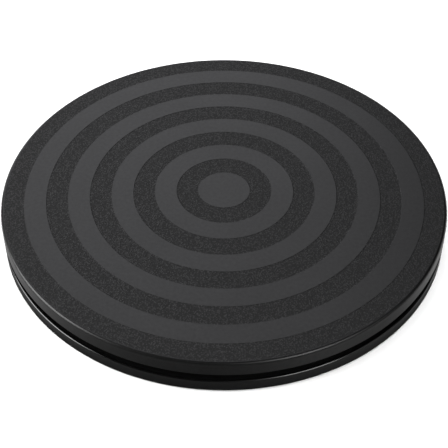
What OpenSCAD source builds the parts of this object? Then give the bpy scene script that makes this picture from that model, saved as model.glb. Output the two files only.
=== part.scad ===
// Round banding turntable: a moulded top plate turns on a ring of steel balls over a moulded base plate.
// Millimetres. +Z is up along the spin axis, and the origin is on the table under the centre.

/* [Plates] */
// Outer diameter of the base plate and the top plate
plate_d = 250; // [250:1:320]
// Height of the top plate's rim, from its lower edge to its working face
top_rim_h = 8.7; // [8.5:0.1:12]
// Open gap between the two rims
rim_gap = 5.1; // [4.6:0.1:5.4]
// Height of the base plate's rim
base_rim_h = 7.2; // [6.8:0.1:8]
// Thickness of the top plate's rim wall
top_rim_wall = 2.6; // [2:0.1:3]
// Thickness of the base plate's rim wall, which ends in a fully rounded lip
base_rim_wall = 1.6; // [1.5:0.1:2]
// Thickness of the flat web of the top plate
top_web = 2.5; // [2:0.1:3]
// Thickness of the flat web of the base plate
base_web = 2.2; // [1.8:0.1:2.4]
// Radius that rounds the working face into the rim
top_edge_r = 1.8; // [1:0.1:2.4]
// Radius that rounds the lower edge of the base rim
base_edge_r = 0.7; // [0.6:0.1:1.4]

/* [Working face] */
// Radius of the smooth disc in the middle
centre_disc_r = 14.8; // [12:0.1:15]
// Width of each grained band
grain_band_w = 11.77; // [10:0.01:12]
// Width of each smooth band
smooth_band_w = 12.59; // [10:0.01:12.6]
// Number of smooth bands around the middle disc
smooth_bands = 4; // [2:1:4]
// How far the smooth bands stand above the grained ones
band_rise = 0.15; // [0.1:0.05:0.5]

/* [Ribs] */
// Number of radial ribs under each plate
rib_count = 24; // [12:6:36]
// Thickness of every rib
rib_t = 1.6; // [1.2:0.1:2]

/* [Ball bearing] */
// Number of balls in the ring
ball_count = 24; // [12:6:24]
// Diameter of a ball
ball_d = 6; // [5.5:0.1:6]
// Radius of the circle that the ball centres run on
ball_circle_r = 80; // [78:0.5:80]
// Thickness of a steel race ring at the bottom of its groove
race_floor = 1; // [0.8:0.1:1.2]
// Depth of the groove that the balls run in
groove_depth = 0.5; // [0.3:0.1:0.7]
// Thickness of the ball cage
cage_h = 3.2; // [2.8:0.1:3.4]

/* [Pivot] */
// Radius of the stem under the top plate
stem_r = 6; // [5:0.1:6.5]
// Wall of the hub tube around the stem
hub_wall = 3.5; // [2.5:0.1:4]
// Thread radius of the pivot screw
screw_r = 2; // [1.75:0.05:2.25]

/* [Feet] */
// Number of rubber foot pads
foot_count = 6; // [3:1:8]
// Radius of a foot pad
foot_r = 9; // [7:0.5:9]
// How far a foot pad stands below the base plate
foot_stand = 1; // [0.5:0.1:2]

/* [Hidden] */
// A node of its own for each ball and each foot
function two_digits(i) = str(i < 10 ? "0" : "", i);
BALLS = [for (i = [1:ball_count]) str("ball_", two_digits(i))];
FEET = [for (i = [1:foot_count]) str("foot_pad_", i)];
$fn = 96;

// Clearances
run_gap = 0.06;         // stem in hub, on the radius
ball_gap = 0.05;        // ball to groove bottom
pocket_gap = 0.15;      // ball to cage pocket
seat_gap = 0.2;         // race ring to its locating walls
end_play = 0.1;         // slide washer to hub face
overlap = 0.5;          // how deep a rib runs into the web above or below it
edge_cut = 0.4;         // small chamfer on moulded edges

// Levels from the table up
plate_r = plate_d / 2;
base_bottom_z = foot_stand;
base_top_z = base_bottom_z + base_rim_h;
skirt_z = base_top_z + rim_gap;
face_z = skirt_z + top_rim_h;
grain_z = face_z - band_rise;
top_web_z = grain_z - top_web;
base_web_z = base_bottom_z + 3.4;
seat_z = base_web_z + base_web;
ball_r = ball_d / 2;
ball_z = seat_z + race_floor + ball_gap + ball_r;
upper_seat_z = 2 * ball_z - seat_z;

// Base plate
base_rib_z = base_bottom_z + 0.3;     // lower edge of the ring ribs
rib_step = 0.2;                       // radial ribs stop this much short of the ring ribs
gutter_w = 5;                         // from the skirt of the top plate to the dust wall
gutter_floor_z = base_bottom_z + 1.2;
gutter_floor_t = 1.8;
skirt_in = plate_r - top_rim_wall;
base_rim_in = plate_r - base_rim_wall;
dust_wall_r = skirt_in - gutter_w;
dust_wall_t = 1.8;
dust_wall_z = skirt_z + 2;            // the dust wall stands up inside the skirt of the top plate
lip_r = base_rim_wall / 2;
base_ring_ribs = [32, 53, 73, 87, 102];
foot_circle_r = 102;
foot_seat_z = foot_stand + 1.6;
foot_collar = 1.6;
foot_fit = 0.15;

// Top plate
top_rib_z = top_web_z - 2.8;
top_ring_ribs = [32, 52.5, 104.5];
boss_r = 12;                          // boss where the stem meets the web
skirt_edge_r = 0.5;
step_w = 0.25;                        // width of the small slope at the edge of a band

// Race rings and the walls that locate them
race_in = ball_circle_r - 6;
race_out = ball_circle_r + 6;
cheek_t = 1.8;
cheek_h = race_floor + groove_depth + 0.1;
groove_r = ball_r + 0.25;

// Cage
cage_in = ball_circle_r - 4.6;
cage_out = ball_circle_r + 4.6;

// Pivot
hub_face_z = base_bottom_z + 4.05;
slide_washer_t = 0.55;
stem_end_z = hub_face_z - end_play - slide_washer_t;
washer_t = 1.2;
washer_r = stem_r + 4.5;
washer_room = 0.8;
hub_top_z = dust_wall_z + 0.4;
pilot_gap = 0.03;
screw_head_r = 3.8;
screw_head_h = 2;
head_edge_r = 1.2;
screw_len = 9;
thread_pitch = 1.25;
thread_depth = 0.45;

// Outer radius of smooth band number i, counted from the middle disc
function band_out(i) = centre_disc_r + i * (grain_band_w + smooth_band_w);

// Quarter disc that rounds the corner between the directions a and a + 90 degrees
module quarter_disc(x, y, r, a) {
    translate([x, y]) intersection() {
        circle(r = r);
        rotate(a) square(r);
    }
}

module ring(r_in, r_out, z0, z1) {
    rotate_extrude() translate([r_in, z0]) square([r_out - r_in, z1 - z0]);
}

module wall_ring(r_mid, z0, z1) {
    ring(r_mid - rib_t / 2, r_mid + rib_t / 2, z0, z1);
}

module radial_ribs(r_in, r_out, z0, z1) {
    for (i = [0:rib_count - 1])
        rotate([0, 0, i * 360 / rib_count])
            translate([r_in, -rib_t / 2, z0])
                cube([r_out - r_in, rib_t, z1 - z0]);
}

// ---- Top plate: an inverted dish with banded face, ribs, race seat and stem ----

function face_points() = concat(
    [[0, face_z]],
    [for (i = [0:smooth_bands]) each concat(
        [[band_out(i) - step_w / 2, face_z], [band_out(i) + step_w / 2, grain_z]],
        i == smooth_bands ? [] :
            [[band_out(i) + grain_band_w - step_w / 2, grain_z],
             [band_out(i) + grain_band_w + step_w / 2, face_z]])]
);

module top_shell() {
    rotate_extrude() {
        polygon(concat(face_points(), [
            [plate_r - top_edge_r, grain_z], [plate_r, grain_z - top_edge_r],
            [plate_r, skirt_z + skirt_edge_r], [plate_r - skirt_edge_r, skirt_z],
            [skirt_in + edge_cut, skirt_z], [skirt_in, skirt_z + edge_cut],
            [skirt_in, top_web_z], [0, top_web_z]
        ]));
        quarter_disc(plate_r - top_edge_r, grain_z - top_edge_r, top_edge_r, 0);
        quarter_disc(plate_r - skirt_edge_r, skirt_z + skirt_edge_r, skirt_edge_r, -90);
    }
}

module top_ribs() {
    upper = top_web_z + overlap;
    translate([0, 0, top_rib_z]) cylinder(r = boss_r, h = upper - top_rib_z);
    radial_ribs(boss_r - 1, race_in - seat_gap - cheek_t / 2, top_rib_z + rib_step, upper);
    radial_ribs(race_out + seat_gap + cheek_t / 2, plate_r - top_rim_wall / 2, top_rib_z + rib_step, upper);
    for (r = top_ring_ribs)
        wall_ring(r, top_rib_z, upper);
}

module upper_race_seat() {
    foot = upper_seat_z - cheek_h;
    ring(race_in - seat_gap - cheek_t, race_in - seat_gap, foot, top_web_z + overlap);
    ring(race_out + seat_gap, race_out + seat_gap + cheek_t, foot, top_web_z + overlap);
    for (r = [race_in + 2, race_out - 2])
        wall_ring(r, upper_seat_z, top_web_z + overlap);
}

module top_plate() {
    color([0.045, 0.045, 0.048])
    difference() {
        union() {
            top_shell();
            top_ribs();
            upper_race_seat();
            translate([0, 0, stem_end_z]) cylinder(r = stem_r, h = top_web_z + overlap - stem_end_z);
        }
        translate([0, 0, stem_end_z - 1]) cylinder(r = screw_r + pilot_gap, h = screw_len + 1.5);
    }
}

// ---- Base plate: rim, gutter, dust wall, ribbed web, race seat, hub and foot cups ----

module base_shell() {
    web_in = stem_r + 2;
    dust_in = dust_wall_r - dust_wall_t;
    gutter_top_z = gutter_floor_z + gutter_floor_t;
    rotate_extrude() {
        polygon([
            [web_in, base_web_z], [dust_in, base_web_z],
            [dust_in, base_rib_z], [dust_wall_r, base_rib_z],
            [dust_wall_r, gutter_floor_z], [base_rim_in, gutter_floor_z],
            [base_rim_in, base_bottom_z], [plate_r - base_edge_r, base_bottom_z],
            [plate_r, base_bottom_z + base_edge_r], [plate_r, base_top_z - lip_r],
            [base_rim_in, base_top_z - lip_r],
            [base_rim_in, gutter_top_z], [dust_wall_r, gutter_top_z],
            [dust_wall_r, dust_wall_z - edge_cut], [dust_wall_r - edge_cut, dust_wall_z],
            [dust_in + edge_cut, dust_wall_z], [dust_in, dust_wall_z - edge_cut],
            [dust_in, seat_z], [web_in, seat_z]
        ]);
        quarter_disc(plate_r - base_edge_r, base_bottom_z + base_edge_r, base_edge_r, -90);
        translate([plate_r - lip_r, base_top_z - lip_r]) circle(r = lip_r);
    }
}

module base_ribs() {
    radial_ribs(stem_r + 3, dust_wall_r - dust_wall_t / 2, base_rib_z + rib_step, base_web_z + overlap);
    for (r = base_ring_ribs)
        wall_ring(r, base_rib_z, base_web_z + overlap);
}

module lower_race_seat() {
    ring(race_in - seat_gap - cheek_t, race_in - seat_gap, seat_z - overlap, seat_z + cheek_h);
    ring(race_out + seat_gap, race_out + seat_gap + cheek_t, seat_z - overlap, seat_z + cheek_h);
}

module hub() {
    bore = stem_r + run_gap;
    room = washer_r + washer_room;
    difference() {
        union() {
            translate([0, 0, hub_face_z]) cylinder(r = bore + hub_wall, h = hub_top_z - hub_face_z);
            translate([0, 0, base_rib_z]) cylinder(r = room + 2, h = seat_z - base_rib_z);
        }
        translate([0, 0, -1]) cylinder(r = bore, h = hub_top_z + 2);
        translate([0, 0, -1]) cylinder(r = room, h = hub_face_z + 1);
    }
}

module at_feet() {
    for (i = [0:foot_count - 1])
        rotate([0, 0, i * 360 / foot_count])
            translate([foot_circle_r, 0, 0]) children();
}

module base_plate() {
    room = washer_r + washer_room;
    color([0.04, 0.04, 0.043]) {
        difference() {
            union() {
                base_shell();
                base_ribs();
                lower_race_seat();
                at_feet() translate([0, 0, base_rib_z + 0.1])
                    cylinder(r = foot_r + foot_fit + foot_collar, h = base_web_z + overlap - base_rib_z - 0.1);
            }
            translate([0, 0, -1]) cylinder(r = room + 1, h = seat_z + 2);
            at_feet() translate([0, 0, -1]) cylinder(r = foot_r + foot_fit, h = foot_seat_z + 1);
        }
        hub();
    }
}

// ---- Bearing ----

// A flat steel ring with a round-bottomed groove on its upper face, its lower face at height 0
module race_ring() {
    difference() {
        ring(race_in, race_out, 0, race_floor + groove_depth);
        rotate_extrude() translate([ball_circle_r, race_floor + groove_r]) circle(r = groove_r);
    }
}

module lower_race() {
    color([0.62, 0.63, 0.65]) translate([0, 0, seat_z]) race_ring();
}

module upper_race() {
    color([0.62, 0.63, 0.65]) translate([0, 0, upper_seat_z]) mirror([0, 0, 1]) race_ring();
}

module ball_place(i) {
    rotate([0, 0, (i + 0.5) * 360 / ball_count])
        translate([ball_circle_r, 0, ball_z]) children();
}

module ball_cage() {
    half = cage_h / 2;
    color([0.82, 0.8, 0.72])
    difference() {
        rotate_extrude() translate([0, ball_z]) polygon([
            [cage_in + edge_cut, -half], [cage_out - edge_cut, -half],
            [cage_out, -half + edge_cut], [cage_out, half - edge_cut],
            [cage_out - edge_cut, half], [cage_in + edge_cut, half],
            [cage_in, half - edge_cut], [cage_in, -half + edge_cut]
        ]);
        for (i = [0:ball_count - 1])
            ball_place(i) sphere(r = ball_r + pocket_gap);
    }
}

module ball(i) {
    color([0.75, 0.76, 0.78]) ball_place(i) sphere(r = ball_r);
}

// ---- Pivot fasteners ----

module pivot_washer() {
    color([0.7, 0.7, 0.72])
        ring(screw_r + 0.2, washer_r, stem_end_z - washer_t, stem_end_z);
}

module slide_washer() {
    color([0.9, 0.9, 0.86])
        ring(stem_r + 0.2, washer_r, hub_face_z - end_play - slide_washer_t, hub_face_z - end_play);
}

// Pan head screw with a cross recess; its thread is drawn as closed ridges
module pivot_screw() {
    head_z = stem_end_z - washer_t - screw_head_h;
    threads = floor(screw_len / thread_pitch) - 1;
    color([0.66, 0.67, 0.7])
    translate([0, 0, head_z])
    difference() {
        union() {
            rotate_extrude() {
                square([screw_head_r - head_edge_r, screw_head_h]);
                translate([0, head_edge_r]) square([screw_head_r, screw_head_h - head_edge_r]);
                quarter_disc(screw_head_r - head_edge_r, head_edge_r, head_edge_r, -90);
            }
            translate([0, 0, screw_head_h - 0.2]) cylinder(r = screw_r - thread_depth, h = screw_len + 0.2);
            for (i = [0:threads])
                translate([0, 0, screw_head_h + 0.8 + i * thread_pitch])
                    rotate_extrude() polygon([
                        [screw_r - thread_depth - 0.2, -0.4], [screw_r, -0.05],
                        [screw_r, 0.05], [screw_r - thread_depth - 0.2, 0.4]
                    ]);
        }
        for (a = [0, 90])
            rotate([0, 0, a]) translate([-2.1, -0.4, -1]) cube([4.2, 0.8, 2.2]);
        translate([0, 0, -1]) cylinder(r = 0.9, h = 2.3);
    }
}

// ---- Feet ----

module foot_pad(i) {
    color([0.09, 0.09, 0.09])
    rotate([0, 0, i * 360 / foot_count])
        translate([foot_circle_r, 0, 0])
            rotate_extrude() polygon([
                [0, 0], [foot_r - 0.8, 0], [foot_r, 0.6], [foot_r, foot_seat_z], [0, foot_seat_z]
            ]);
}

top_plate();
upper_race();
pivot_washer();
pivot_screw();
ball_cage();
base_plate();
lower_race();
slide_washer();
for (i = [0:ball_count - 1])
    ball(i);
for (i = [0:foot_count - 1])
    foot_pad(i);
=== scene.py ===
import math

import bmesh
import bpy
from mathutils import Matrix, Vector


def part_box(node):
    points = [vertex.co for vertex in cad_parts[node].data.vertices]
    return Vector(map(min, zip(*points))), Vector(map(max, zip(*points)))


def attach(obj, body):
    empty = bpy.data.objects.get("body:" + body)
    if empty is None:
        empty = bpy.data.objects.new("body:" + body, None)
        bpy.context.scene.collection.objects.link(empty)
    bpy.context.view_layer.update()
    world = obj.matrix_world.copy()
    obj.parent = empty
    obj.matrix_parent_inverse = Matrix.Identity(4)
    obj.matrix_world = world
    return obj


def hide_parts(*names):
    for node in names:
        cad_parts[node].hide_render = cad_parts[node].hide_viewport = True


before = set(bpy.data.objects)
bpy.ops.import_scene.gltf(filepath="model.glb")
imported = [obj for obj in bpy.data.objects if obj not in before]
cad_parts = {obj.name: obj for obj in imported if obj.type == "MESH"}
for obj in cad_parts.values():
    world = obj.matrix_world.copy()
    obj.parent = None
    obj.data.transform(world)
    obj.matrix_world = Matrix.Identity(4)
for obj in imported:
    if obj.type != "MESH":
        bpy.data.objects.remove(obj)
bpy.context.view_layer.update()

MM = 0.001

# ---- Sizes in millimetres: levels and radii come from the frame, the rest repeats the CAD source ----


def low(node, axis):
    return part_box(node)[0][axis] / MM


def high(node, axis):
    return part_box(node)[1][axis] / MM


PLATE_R = high("top_plate", 0)
FACE_Z = high("top_plate", 2)
STEM_END_Z = low("top_plate", 2)
BASE_Z = low("base_plate", 2)
HUB_TOP_Z = high("base_plate", 2)
SEAT_Z = low("lower_race", 2)
UPPER_SEAT_Z = high("upper_race", 2)
RACE_OUT = high("lower_race", 0)
FOOT_SEAT_Z = high("foot_pad_1", 2)
FOOT_R = high("foot_pad_1", 1)
FOOT_CIRCLE_R = high("foot_pad_1", 0) - FOOT_R

BAND_RISE = 0.15
CENTRE_R = 14.8
GRAIN_W = 11.77
SMOOTH_W = 12.59
SMOOTH_BANDS = 4
STEP_W = 0.5
TOP_EDGE_R = 1.8
SKIRT_Z = 13.3
SKIRT_IN = PLATE_R - 2.6
SKIRT_EDGE_R = 0.5
TOP_WEB = 2.5
RIB_T = 1.6
RIB_COUNT = 24
RIB_STEP = 0.2
RIB_OVERLAP = 0.5
RIB_BITE = 1
TOP_RIB_DROP = 2.8
TOP_RING_RIBS = (104.5, 52.5, 32)
BOSS_R = 12
STEM_R = 6
PILOT_R = 2.03
PILOT_DEPTH = 9.5
RACE_IN = RACE_OUT - 12
RACE_FLOOR = 1
GROOVE_DEPTH = 0.5
GROOVE_R = 3.25
SEAT_GAP = 0.2
CHEEK_T = 1.8
CHEEK_H = 1.6

BASE_WEB_Z = SEAT_Z - 2.2
BASE_RIB_Z = BASE_Z + 0.3
BASE_TOP_Z = 8.2
BASE_EDGE_R = 0.7
BASE_RIM_IN = PLATE_R - 1.6
LIP_R = 0.8
LIP_SHINE_H = 0.45      # height of the burnished part of the lip
GUTTER_Z = BASE_Z + 1.2
GUTTER_T = 1.8
DUST_OUT = SKIRT_IN - 5
DUST_IN = DUST_OUT - 1.8
DUST_TOP_Z = 15.3
BASE_RING_RIBS = (102, 87, 73, 53, 32)
HUB_IN = 6.06
HUB_OUT = 9.56
HUB_FACE_Z = BASE_Z + 4.05
HUB_ROOM_R = 11.3
HUB_ROOM_WALL = 2
FOOT_COUNT = 6
FOOT_FIT = 0.15
FOOT_COLLAR = 1.6
FOOT_GROOVES = (2.6, 4.4, 6.2)
FOOT_GROOVE_DEPTH = 0.35
FOOT_DIMPLE_R = 1.6
FOOT_DIMPLE_Z = 0.15

GRAIN_Z = FACE_Z - BAND_RISE
TOP_WEB_Z = GRAIN_Z - TOP_WEB
TOP_RIB_Z = TOP_WEB_Z - TOP_RIB_DROP

SEGMENTS = 360
SMALL_SEGMENTS = 72
FOOT_SEGMENTS = 120
GROOVE_STEPS = 14
SOFT = 0.25     # rounding of a moulded edge
CREASE = math.radians(38)
NOISE_RANGE = (0.3, 0.7)     # where most of a noise texture's values lie


# ---- Mesh building ----


def rounded(corners, closed):
    """(r, z, rounding) corners as a list of (r, z) points with each corner rounded."""
    out = []
    count = len(corners)
    for i, (r, z, rounding) in enumerate(corners):
        here = Vector((r, z))
        if rounding <= 0 or (not closed and i in (0, count - 1)):
            out.append((r, z))
            continue
        before = Vector(corners[i - 1][:2]) - here
        after = Vector(corners[(i + 1) % count][:2]) - here
        turn = math.pi - before.angle(after)
        reach = rounding * math.tan(turn / 2)
        steps = max(2, math.ceil(math.degrees(turn) / (9 if rounding > 0.6 else 30)))
        start = here + before.normalized() * reach
        middle = (before.normalized() + after.normalized()).normalized()
        centre = here + middle * math.hypot(rounding, reach)
        spoke = start - centre
        side = 1 if before.x * after.y - before.y * after.x < 0 else -1
        for k in range(steps + 1):
            a = side * turn * k / steps
            out.append((centre.x + spoke.x * math.cos(a) - spoke.y * math.sin(a),
                        centre.y + spoke.x * math.sin(a) + spoke.y * math.cos(a)))
    return out


def lathe(bm, points, closed, segments=SEGMENTS, centre=(0, 0)):
    """Turns a profile about the vertical line through centre. An open profile starts and ends on it."""
    rings = []
    for r, z in points:
        if r < 1e-6:
            rings.append([bm.verts.new((centre[0] * MM, centre[1] * MM, z * MM))])
            continue
        ring = []
        for k in range(segments):
            a = 2 * math.pi * k / segments
            ring.append(bm.verts.new(((centre[0] + r * math.cos(a)) * MM,
                                      (centre[1] + r * math.sin(a)) * MM, z * MM)))
        rings.append(ring)
    pairs = list(zip(rings, rings[1:] + rings[:1])) if closed else list(zip(rings, rings[1:]))
    for a, b in pairs:
        for k in range(segments):
            n = (k + 1) % segments
            if len(a) == 1:
                bm.faces.new((a[0], b[n], b[k]))
            elif len(b) == 1:
                bm.faces.new((a[k], a[n], b[0]))
            else:
                bm.faces.new((a[k], a[n], b[n], b[k]))


def as_object(name, bm):
    bmesh.ops.recalc_face_normals(bm, faces=bm.faces)
    mesh = bpy.data.meshes.new(name)
    bm.to_mesh(mesh)
    bm.free()
    obj = bpy.data.objects.new(name, mesh)
    bpy.context.scene.collection.objects.link(obj)
    return obj


def turned(name, corners, closed):
    bm = bmesh.new()
    lathe(bm, rounded(corners, closed), closed)
    return as_object(name, bm)


def rib_bars(name, spans, z_tip, z_root):
    """Radial ribs with rounded tips, one set for each (inner, outer) radius in spans."""
    bm = bmesh.new()
    section = rounded([(-RIB_T / 2, z_root, 0), (-RIB_T / 2, z_tip, SOFT),
                       (RIB_T / 2, z_tip, SOFT), (RIB_T / 2, z_root, 0)], True)
    for i in range(RIB_COUNT):
        turn = Matrix.Rotation(2 * math.pi * i / RIB_COUNT, 3, "Z")
        for r_in, r_out in spans:
            ends = [[bm.verts.new(turn @ Vector((r, y, z)) * MM) for y, z in section]
                    for r in (r_in, r_out)]
            bm.faces.new(ends[0])
            bm.faces.new(ends[1])
            for k in range(len(section)):
                n = (k + 1) % len(section)
                bm.faces.new((ends[0][k], ends[0][n], ends[1][n], ends[1][k]))
    return as_object(name, bm)


def discs(name, places, corners):
    """One turned solid at each place; the profile starts and ends on its own axis."""
    bm = bmesh.new()
    points = rounded(corners, False)
    for place in places:
        lathe(bm, points, False, SMALL_SEGMENTS, place)
    return as_object(name, bm)


def combine(obj, tool, operation):
    modifier = obj.modifiers.new("combine", "BOOLEAN")
    modifier.operation = operation
    modifier.solver = "MANIFOLD"
    modifier.object = tool
    bpy.context.view_layer.update()
    result = bpy.data.meshes.new_from_object(obj.evaluated_get(bpy.context.evaluated_depsgraph_get()))
    obj.modifiers.clear()
    obj.data = result
    bpy.data.objects.remove(tool)


def shade(obj):
    """Smooth faces with crisp creases, flat areas kept flat."""
    obj.data.polygons.foreach_set("use_smooth", [True] * len(obj.data.polygons))
    obj.data.set_sharp_from_angle(angle=CREASE)
    weighted = obj.modifiers.new("weighted", "WEIGHTED_NORMAL")
    weighted.keep_sharp = True
    weighted.weight = 80


def finish_piece(obj, body, slot, materials, *nodes):
    shade(obj)
    obj.data.materials.clear()
    for m in materials:
        obj.data.materials.append(m)
    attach(obj, body)
    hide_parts(*nodes)
    return obj


# ---- Top plate ----


def ring_rib(r_mid, z_tip, z_root):
    """Corners of a ring rib that hangs from a web, from its outer side to its inner side."""
    out, inn = r_mid + RIB_T / 2, r_mid - RIB_T / 2
    return [(out, z_root, SOFT), (out, z_tip, SOFT), (inn, z_tip, SOFT), (inn, z_root, SOFT)]


def cheek(r_in, z_tip, z_root):
    return [(r_in + CHEEK_T, z_root, SOFT), (r_in + CHEEK_T, z_tip, SOFT),
            (r_in, z_tip, SOFT), (r_in, z_root, SOFT)]


def band_edges():
    """Radii of the edges of the bands, from the middle outwards."""
    edges = []
    for i in range(SMOOTH_BANDS + 1):
        out = CENTRE_R + i * (GRAIN_W + SMOOTH_W)
        edges += [out, out + GRAIN_W]
    return edges[:-1]


def top_corners():
    corners = [(0, FACE_Z, 0)]
    for i, r in enumerate(band_edges()):
        levels = (FACE_Z, GRAIN_Z) if i % 2 == 0 else (GRAIN_Z, FACE_Z)
        corners += [(r - STEP_W / 2, levels[0], 0.2), (r + STEP_W / 2, levels[1], 0.2)]
    corners += [(PLATE_R, GRAIN_Z, TOP_EDGE_R), (PLATE_R, SKIRT_Z, SKIRT_EDGE_R),
                (SKIRT_IN, SKIRT_Z, 0.4), (SKIRT_IN, TOP_WEB_Z, 1)]
    corners += ring_rib(TOP_RING_RIBS[0], TOP_RIB_Z, TOP_WEB_Z)
    corners += cheek(RACE_OUT + SEAT_GAP, UPPER_SEAT_Z - CHEEK_H, TOP_WEB_Z)
    corners += ring_rib(RACE_OUT - 2, UPPER_SEAT_Z, TOP_WEB_Z)
    corners += ring_rib(RACE_IN + 2, UPPER_SEAT_Z, TOP_WEB_Z)
    corners += cheek(RACE_IN - SEAT_GAP - CHEEK_T, UPPER_SEAT_Z - CHEEK_H, TOP_WEB_Z)
    for r in TOP_RING_RIBS[1:]:
        corners += ring_rib(r, TOP_RIB_Z, TOP_WEB_Z)
    corners += [(BOSS_R, TOP_WEB_Z, SOFT), (BOSS_R, TOP_RIB_Z, SOFT), (STEM_R, TOP_RIB_Z, SOFT),
                (STEM_R, STEM_END_Z, SOFT), (PILOT_R, STEM_END_Z, 0.2),
                (PILOT_R, STEM_END_Z + PILOT_DEPTH, 0.2), (0, STEM_END_Z + PILOT_DEPTH, 0)]
    return corners


def paint_bands(obj):
    """Material slot 1 on the smooth bands, 2 on the grained ones and the steps, 0 elsewhere."""
    edges = band_edges()
    for face in obj.data.polygons:
        c = face.center / MM
        if c.z < GRAIN_Z - 0.001:
            face.material_index = 0
            continue
        r = math.hypot(c.x, c.y)
        crossed = sum(r > e for e in edges)
        face.material_index = 1 if crossed % 2 == 0 and c.z > FACE_Z - 0.01 else 2


def make_top(materials):
    obj = turned("top_plate_moulded", top_corners(), False)
    spans = [(BOSS_R - RIB_BITE, RACE_IN - SEAT_GAP - CHEEK_T / 2),
             (RACE_OUT + SEAT_GAP + CHEEK_T / 2, (SKIRT_IN + PLATE_R) / 2)]
    combine(obj, rib_bars("ribs", spans, TOP_RIB_Z + RIB_STEP, TOP_WEB_Z + RIB_OVERLAP), "UNION")
    finish_piece(obj, "top", "top_plastic", materials, "top_plate")
    paint_bands(obj)
    return obj


# ---- Base plate ----


def base_corners():
    corners = [
        (HUB_IN, HUB_FACE_Z, SOFT), (HUB_IN, HUB_TOP_Z, 0.4),
        (HUB_OUT, HUB_TOP_Z, 0.4), (HUB_OUT, SEAT_Z, 0.5),
    ]
    for r_in in (RACE_IN - SEAT_GAP - CHEEK_T, RACE_OUT + SEAT_GAP):
        corners += reversed(cheek(r_in, SEAT_Z + CHEEK_H, SEAT_Z))
    corners += [
        (DUST_IN, SEAT_Z, 0.5), (DUST_IN, DUST_TOP_Z, 0.5), (DUST_OUT, DUST_TOP_Z, 0.5),
        (DUST_OUT, GUTTER_Z + GUTTER_T, 0.5), (BASE_RIM_IN, GUTTER_Z + GUTTER_T, 0.5),
        (BASE_RIM_IN, BASE_TOP_Z, LIP_R - 0.001), (PLATE_R, BASE_TOP_Z, LIP_R - 0.001),
        (PLATE_R, BASE_Z, BASE_EDGE_R), (BASE_RIM_IN, BASE_Z, 0.1),
        (BASE_RIM_IN, GUTTER_Z, SOFT), (DUST_OUT, GUTTER_Z, SOFT),
        (DUST_OUT, BASE_RIB_Z, SOFT), (DUST_IN, BASE_RIB_Z, SOFT), (DUST_IN, BASE_WEB_Z, SOFT),
    ]
    for r in BASE_RING_RIBS:
        corners += ring_rib(r, BASE_RIB_Z, BASE_WEB_Z)
    room_out = HUB_ROOM_R + HUB_ROOM_WALL
    corners += [(room_out, BASE_WEB_Z, SOFT), (room_out, BASE_RIB_Z, SOFT),
                (HUB_ROOM_R, BASE_RIB_Z, SOFT), (HUB_ROOM_R, HUB_FACE_Z, SOFT)]
    return corners


def foot_places():
    places = []
    for i in range(FOOT_COUNT):
        a = 2 * math.pi * i / FOOT_COUNT
        places.append((FOOT_CIRCLE_R * math.cos(a), FOOT_CIRCLE_R * math.sin(a)))
    return places


def make_base(materials):
    """The moulded base; material slot 1 on the burnished lip, 0 elsewhere."""
    obj = turned("base_plate_moulded", base_corners(), True)
    spans = [(HUB_ROOM_R + RIB_BITE, (DUST_IN + DUST_OUT) / 2)]
    combine(obj, rib_bars("ribs", spans, BASE_RIB_Z + RIB_STEP, BASE_WEB_Z + RIB_OVERLAP), "UNION")
    pocket_r = FOOT_R + FOOT_FIT
    cup_z = BASE_RIB_Z + 0.1
    cup = [(0, cup_z, 0), (pocket_r + FOOT_COLLAR, cup_z, SOFT),
           (pocket_r + FOOT_COLLAR, BASE_WEB_Z + RIB_OVERLAP, 0), (0, BASE_WEB_Z + RIB_OVERLAP, 0)]
    combine(obj, discs("cups", foot_places(), cup), "UNION")
    pocket = [(0, 0, 0), (pocket_r, 0, 0), (pocket_r, FOOT_SEAT_Z, 0.2), (0, FOOT_SEAT_Z, 0)]
    combine(obj, discs("pockets", foot_places(), pocket), "DIFFERENCE")
    finish_piece(obj, "base", "base_plastic", materials, "base_plate")
    for face in obj.data.polygons:
        c = face.center / MM
        on_lip = c.z > BASE_TOP_Z - LIP_SHINE_H and math.hypot(c.x, c.y) > BASE_RIM_IN
        face.material_index = int(on_lip)
    return obj


# ---- Races ----


def race_corners(seat_z, up):
    """A flat ring with a round groove; up is 1 when the groove faces up and -1 when it faces down."""
    top_z = seat_z + up * (RACE_FLOOR + GROOVE_DEPTH)
    centre_r = (RACE_IN + RACE_OUT) / 2
    centre_z = seat_z + up * (RACE_FLOOR + GROOVE_R)
    reach = math.acos(1 - GROOVE_DEPTH / GROOVE_R)
    groove = []
    for k in range(GROOVE_STEPS + 1):
        a = reach * (2 * k / GROOVE_STEPS - 1)
        groove.append((centre_r + GROOVE_R * math.sin(a), centre_z - up * GROOVE_R * math.cos(a), 0))
    return [(RACE_IN, seat_z, 0.2), (RACE_IN, top_z, 0.3), *groove,
            (RACE_OUT, top_z, 0.3), (RACE_OUT, seat_z, 0.2)]


def make_race(node, body, seat_z, up, material):
    obj = turned(f"{node}_ring", race_corners(seat_z, up), True)
    return finish_piece(obj, body, "race_steel", [material], node)


# ---- Feet ----


def make_foot(number, place, material):
    """A rubber pad with ring grooves and a shallow dimple in its sole."""
    node = f"foot_pad_{number}"
    corners = [(0, FOOT_DIMPLE_Z, 0), (FOOT_DIMPLE_R, FOOT_DIMPLE_Z, 0.1)]
    for r in FOOT_GROOVES:
        corners += [(r - 0.5, 0, 0.1), (r + 0.35, 0, 0.1),
                    (r + 0.5, FOOT_GROOVE_DEPTH, 0.12), (r + 0.75, FOOT_GROOVE_DEPTH, 0.12)]
    corners += [(FOOT_R - 1.5, 0, 0.1), (FOOT_R, 0, 0.6),
                (FOOT_R, FOOT_SEAT_Z, 0.15), (0, FOOT_SEAT_Z, 0)]
    bm = bmesh.new()
    lathe(bm, rounded(corners, False), False, FOOT_SEGMENTS, place)
    obj = as_object(f"rubber_foot_{number}", bm)
    return finish_piece(obj, "base", "foot_rubber", [material], node)


# ---- Materials ----


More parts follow.
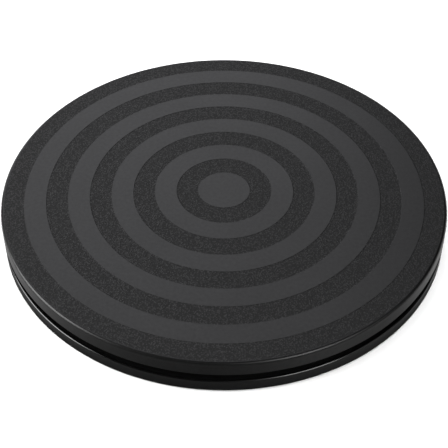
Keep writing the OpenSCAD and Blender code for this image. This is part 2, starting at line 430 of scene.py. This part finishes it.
class Tree:
    """Short calls for the nodes of a tree."""

    def __init__(self, tree):
        self.tree = tree

    def add(self, kind, **values):
        node = self.tree.nodes.new(kind)
        for key, value in values.items():
            setattr(node, key, value)
        return node

    def link(self, a, b):
        self.tree.links.new(a, b)

    def math(self, operation, a, b):
        node = self.add("ShaderNodeMath", operation=operation)
        for socket, value in zip(node.inputs, (a, b)):
            if isinstance(value, (int, float)):
                socket.default_value = value
            else:
                self.link(value, socket)
        return node.outputs[0]


class Nodes(Tree):
    """A material with one Principled BSDF, laid out in the object's own coordinates."""

    def __init__(self, name):
        self.material = bpy.data.materials.new(name)
        self.material.use_nodes = True
        super().__init__(self.material.node_tree)
        self.bsdf = self.tree.nodes["Principled BSDF"]
        self.place = self.add("ShaderNodeTexCoord").outputs["Object"]

    def noise(self, scale, detail=3.0, roughness=0.5, vector=None):
        node = self.add("ShaderNodeTexNoise")
        node.inputs["Scale"].default_value = scale
        node.inputs["Detail"].default_value = detail
        node.inputs["Roughness"].default_value = roughness
        self.link(vector or self.place, node.inputs["Vector"])
        return node.outputs["Fac"]

    def cells(self, scale):
        node = self.add("ShaderNodeTexVoronoi", feature="F1")
        node.inputs["Scale"].default_value = scale
        self.link(self.place, node.inputs["Vector"])
        return node.outputs["Distance"]

    def spread(self, value, low_in, high_in, low_out, high_out):
        node = self.add("ShaderNodeMapRange")
        self.link(value, node.inputs["Value"])
        ends = {"From Min": low_in, "From Max": high_in, "To Min": low_out, "To Max": high_out}
        for key, number in ends.items():
            node.inputs[key].default_value = number
        return node.outputs["Result"]

    def vary(self, noise, low_out, high_out):
        """The usual range of a noise texture, spread over low_out to high_out."""
        return self.spread(noise, *NOISE_RANGE, low_out, high_out)

    def tint(self, factor, dark, light):
        """Base colour from dark to light along factor."""
        node = self.add("ShaderNodeMix", data_type="RGBA")
        self.link(factor, node.inputs["Factor"])
        node.inputs[6].default_value = (*dark, 1)
        node.inputs[7].default_value = (*light, 1)
        self.link(node.outputs[2], self.bsdf.inputs["Base Color"])

    def radius(self):
        """Distance from the object's own Z axis, and height."""
        split = self.add("ShaderNodeSeparateXYZ")
        self.link(self.place, split.inputs[0])
        x, y, z = split.outputs
        squares = self.math("ADD", self.math("MULTIPLY", x, x), self.math("MULTIPLY", y, y))
        return self.math("SQRT", squares, 0), z

    def rough(self, value):
        self.link(value, self.bsdf.inputs["Roughness"])

    def bump(self, height, distance, strength=1.0):
        node = self.add("ShaderNodeBump")
        node.inputs["Distance"].default_value = distance
        node.inputs["Strength"].default_value = strength
        self.link(height, node.inputs["Height"])
        self.link(node.outputs["Normal"], self.bsdf.inputs["Normal"])


def grey(level, blue=1.01):
    return (level, level, level * blue)


def smooth_plastic(name, level, roughness, gloss):
    """Moulded plastic with a faint cloudiness in its colour, gloss and roughness."""
    n = Nodes(name)
    broad = n.noise(35, 4)
    fine = n.noise(2600, 3)
    cloud = n.noise(500, 3)
    n.tint(broad, grey(level * 0.9), grey(level * 1.1))
    n.rough(n.math("ADD", n.vary(broad, roughness - 0.02, roughness + 0.02),
                   n.vary(fine, -0.03, 0.03)))
    n.bump(fine, 0.000012, 0.6)
    n.link(n.vary(cloud, gloss * 0.9, gloss * 1.1), n.bsdf.inputs["Specular IOR Level"])
    return n.material


def grained_plastic(name, level, roughness, gloss):
    """Moulded plastic with a leathery grain of small bumps, about one millimetre apart, with painted shade
    in the pits between them.
    """
    n = Nodes(name)
    cells = n.cells(1050)
    fine = n.noise(3200, 2)
    broad = n.noise(420, 2)
    height = n.math("ADD", n.spread(cells, 0.0, 0.7, 1.0, 0.0), n.math("MULTIPLY", fine, 0.5))
    # Painted shade: low in the pits between the bumps the colour is darker and the gloss weaker; the broad
    # noise adds a random mottle to the tone
    pit_shade_and_mottle = n.math("ADD", n.math("MULTIPLY", height, 0.55), n.math("MULTIPLY", broad, 0.35))
    n.tint(pit_shade_and_mottle, grey(level * 0.65), grey(level * 1.4))
    n.rough(n.spread(cells, 0.1, 0.6, roughness - 0.08, roughness + 0.08))
    n.bump(height, 0.00015, 1.0)
    n.link(n.spread(pit_shade_and_mottle, 0.45, 0.85, gloss * 0.6, gloss * 1.4), n.bsdf.inputs["Specular IOR Level"])
    return n.material


def ring_brushed(name, colour, roughness):
    """Metal with fine turning marks round its own centre line."""
    n = Nodes(name)
    rz = n.add("ShaderNodeCombineXYZ")
    for value, socket in zip(n.radius(), rz.inputs):
        n.link(value, socket)
    marks = n.noise(5200, 4, 0.6, rz.outputs[0])
    stains = n.noise(160, 4)
    n.bsdf.inputs["Metallic"].default_value = 1
    n.tint(stains, tuple(c * 0.82 for c in colour), colour)
    n.rough(n.math("ADD", n.vary(marks, -0.05, 0.05),
                   n.vary(stains, roughness, roughness + 0.1)))
    n.bump(marks, 0.00001, 0.5)
    return n.material


def plain_metal(name, colour, roughness):
    n = Nodes(name)
    stains = n.noise(700, 4)
    n.bsdf.inputs["Metallic"].default_value = 1
    n.tint(stains, tuple(c * 0.88 for c in colour), colour)
    n.rough(n.vary(stains, roughness * 0.8, roughness * 1.2))
    n.bump(n.noise(5000, 2), 0.000006, 0.4)
    return n.material


def nylon(name, colour):
    n = Nodes(name)
    cloud = n.noise(220, 3)
    n.tint(cloud, tuple(c * 0.9 for c in colour), colour)
    n.rough(n.vary(cloud, 0.36, 0.5))
    n.bsdf.inputs["Subsurface Weight"].default_value = 0.1
    n.bsdf.inputs["Subsurface Radius"].default_value = (0.0008, 0.0007, 0.0005)
    n.bump(n.noise(2800, 2), 0.00001, 0.5)
    return n.material


def rubber(name, level):
    n = Nodes(name)
    pores = n.noise(1800, 4, 0.6)
    dust = n.noise(260, 4)
    n.tint(dust, grey(level, 1), grey(level * 2.2, 0.97))
    n.rough(n.vary(dust, 0.7, 0.9))
    n.bump(pores, 0.00003, 0.7)
    return n.material


# ---- Carried-over CAD nodes ----


def dress(node, material):
    """A better material and smooth shading for a CAD node; its mesh keeps its shape."""
    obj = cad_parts[node]
    mesh = obj.data
    if "custom_normal" in mesh.attributes:
        mesh.attributes.remove(mesh.attributes["custom_normal"])
    mesh.polygons.foreach_set("use_smooth", [True] * len(mesh.polygons))
    mesh.materials.clear()
    mesh.materials.append(material)
    weld = obj.modifiers.new("weld", "WELD")
    weld.merge_threshold = 1e-6
    split = obj.modifiers.new("split", "EDGE_SPLIT")
    split.split_angle = CREASE


# ---- Studio ----

CAMERA_DISTANCE = 0.628285
CAMERA_ELEVATION = math.radians(42.56)
CAMERA_PITCH = math.radians(-1.75)
CAMERA_ROLL = math.radians(0.1)
CAMERA_PLANE_Z = FACE_Z - 0.25     # distance and elevation are taken from the face's middle, at this height
SENSOR_MM = 36
LENS_MM = 89.35
LIGHT_DISTANCE = 1.6
FLOOR_HALF = 20
# Contact shade, measured from the rim: it starts inside it, is full to SHADE_FULL and ends at SHADE_OUT
SHADE_IN = 5
SHADE_FULL = 1
SHADE_OUT = 4.6
SHADE_Z = 0.05
STUDIO_LEVEL = 0.01
TABLE_LEVEL = 1.48
# Lighter and darker patches of the table: direction from the object, focus, amount
TABLE_PATCHES = (((0.5, -0.5, -0.69), 16, 1.0), ((0.75, 0.05, -0.66), 30, -0.75))


def make_camera():
    data = bpy.data.cameras.new("camera")
    camera = bpy.data.objects.new("camera", data)
    bpy.context.scene.collection.objects.link(camera)
    data.sensor_width = SENSOR_MM
    data.lens = LENS_MM
    data.clip_start = 0.01
    data.clip_end = 100
    camera.location = (0, -CAMERA_DISTANCE * math.cos(CAMERA_ELEVATION),
                       CAMERA_PLANE_Z * MM + CAMERA_DISTANCE * math.sin(CAMERA_ELEVATION))
    aim = Matrix.Rotation(math.pi / 2 - CAMERA_ELEVATION + CAMERA_PITCH, 4, "X")
    camera.rotation_euler = (aim @ Matrix.Rotation(CAMERA_ROLL, 4, "Z")).to_euler()
    bpy.context.scene.camera = camera


def soft_light(name, azimuth, elevation, width, height, radiance, colour=(1, 1, 1)):
    """A rectangular softbox that faces the object.

    Azimuth 0 is +X. All angles are in degrees, and width and height are angles seen from the object.
    """
    a, e = math.radians(azimuth), math.radians(elevation)
    data = bpy.data.lights.new(name, "AREA")
    data.shape = "RECTANGLE"
    data.size = 2 * LIGHT_DISTANCE * math.tan(math.radians(width / 2))
    data.size_y = 2 * LIGHT_DISTANCE * math.tan(math.radians(height / 2))
    data.energy = radiance * math.pi * data.size * data.size_y
    data.color = colour
    light = bpy.data.objects.new(name, data)
    direction = Vector((math.cos(a) * math.cos(e), math.sin(a) * math.cos(e), math.sin(e)))
    light.location = direction * LIGHT_DISTANCE
    light.rotation_euler = light.location.to_track_quat("Z", "Y").to_euler()
    bpy.context.scene.collection.objects.link(light)
    return light


def make_world():
    """A dark studio; rays that look down see a table, darker straight below and towards the camera."""
    world = bpy.data.worlds.new("studio")
    bpy.context.scene.world = world
    world.use_nodes = True
    tree = Tree(world.node_tree)
    place = tree.add("ShaderNodeTexCoord").outputs["Generated"]
    split = tree.add("ShaderNodeSeparateXYZ")
    tree.link(place, split.inputs[0])
    y, z = split.outputs[1:]
    level = tree.math("ADD", y, TABLE_LEVEL)
    for side, focus, amount in TABLE_PATCHES:
        towards = tree.add("ShaderNodeVectorMath", operation="DOT_PRODUCT")
        tree.link(place, towards.inputs[0])
        towards.inputs[1].default_value = Vector(side).normalized()
        lobe = tree.math("POWER", tree.math("MAXIMUM", towards.outputs["Value"], 0), focus)
        level = tree.math("ADD", level, tree.math("MULTIPLY", lobe, amount))
    table = tree.math("MULTIPLY", level, tree.math("ADD", z, 1))
    strength = tree.math("ADD", tree.math("MULTIPLY", table, tree.math("LESS_THAN", z, 0)), STUDIO_LEVEL)
    tree.link(strength, tree.tree.nodes["Background"].inputs["Strength"])
    tree.tree.nodes["Background"].inputs["Color"].default_value = (1, 1, 1, 1)


def make_floor():
    """White paper on the table. Reflections see the world's table instead."""
    bm = bmesh.new()
    signs = ((-1, -1), (1, -1), (1, 1), (-1, 1))
    bm.faces.new([bm.verts.new((x * FLOOR_HALF, y * FLOOR_HALF, 0)) for x, y in signs])
    floor = as_object("floor", bm)
    n = Nodes("floor_paper")
    cloud = n.noise(6, 3)
    n.tint(cloud, (0.9, 0.9, 0.9), (0.92, 0.92, 0.92))
    n.rough(n.vary(cloud, 0.8, 0.95))
    floor.data.materials.append(n.material)
    floor.visible_glossy = False


def make_contact_shade():
    """A black strip on the table round the base, where little light reaches: only reflections see it."""
    bm = bmesh.new()
    lathe(bm, [(PLATE_R - SHADE_IN, SHADE_Z), (PLATE_R + SHADE_OUT, SHADE_Z)], False)
    shade_ring = as_object("contact_shade", bm)
    n = Nodes("contact_shade")
    r = n.radius()[0]
    fade = n.spread(r, (PLATE_R + SHADE_FULL) * MM, (PLATE_R + SHADE_OUT) * MM, 1, 0)
    n.link(fade, n.bsdf.inputs["Alpha"])
    n.bsdf.inputs["Base Color"].default_value = (0, 0, 0, 1)
    n.bsdf.inputs["Specular IOR Level"].default_value = 0
    shade_ring.data.materials.append(n.material)
    for kind in ("camera", "diffuse", "transmission", "shadow"):
        setattr(shade_ring, f"visible_{kind}", False)


make_camera()
make_floor()
make_contact_shade()
make_world()
COOL = (0.96, 0.96, 1.0)
soft_light("left_softbox", -176, 26, 40, 38, 8)
soft_light("right_softbox", -50, 42, 22, 24, 7)
soft_light("right_wash", -40, 42, 60, 44, 0.5)
soft_light("back_panel", 104, 40, 46, 58, 1.6, COOL)
fill = soft_light("overhead_fill", 0, 90, 100, 100, 1.8)
fill.visible_glossy = False

rim_plastic = smooth_plastic("black_rim_plastic", 0.002, 0.33, 0.37)
smooth_band = smooth_plastic("satin_band_plastic", 0.0035, 0.42, 0.4)
grained_band = grained_plastic("grained_band_plastic", 0.0035, 0.57, 0.45)
base_plastic = smooth_plastic("black_base_plastic", 0.002, 0.5, 0.33)
lip_plastic = smooth_plastic("burnished_lip_plastic", 0.002, 0.14, 0.68)
race_steel = ring_brushed("turned_race_steel", (0.62, 0.63, 0.65), 0.22)
ball_steel = plain_metal("polished_ball_steel", (0.78, 0.79, 0.8), 0.08)
zinc = ring_brushed("zinc_plated_steel", (0.66, 0.68, 0.7), 0.3)
cage_nylon = nylon("natural_nylon", (0.82, 0.8, 0.72))
washer_nylon = nylon("white_nylon", (0.86, 0.86, 0.84))
foot_rubber = rubber("black_rubber", 0.02)

make_top([rim_plastic, smooth_band, grained_band])
make_base([base_plastic, lip_plastic])
for number, place in enumerate(foot_places(), 1):
    make_foot(number, place, foot_rubber)

make_race("lower_race", "base", SEAT_Z, 1, race_steel)
make_race("upper_race", "top", UPPER_SEAT_Z, -1, race_steel)

for node, material in (("pivot_washer", zinc), ("pivot_screw", zinc), ("ball_cage", cage_nylon),
                       ("slide_washer", washer_nylon)):
    dress(node, material)
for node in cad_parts:
    if node.startswith("ball_") and node != "ball_cage":
        dress(node, ball_steel)

bpy.context.scene.view_settings.view_transform = "Standard"
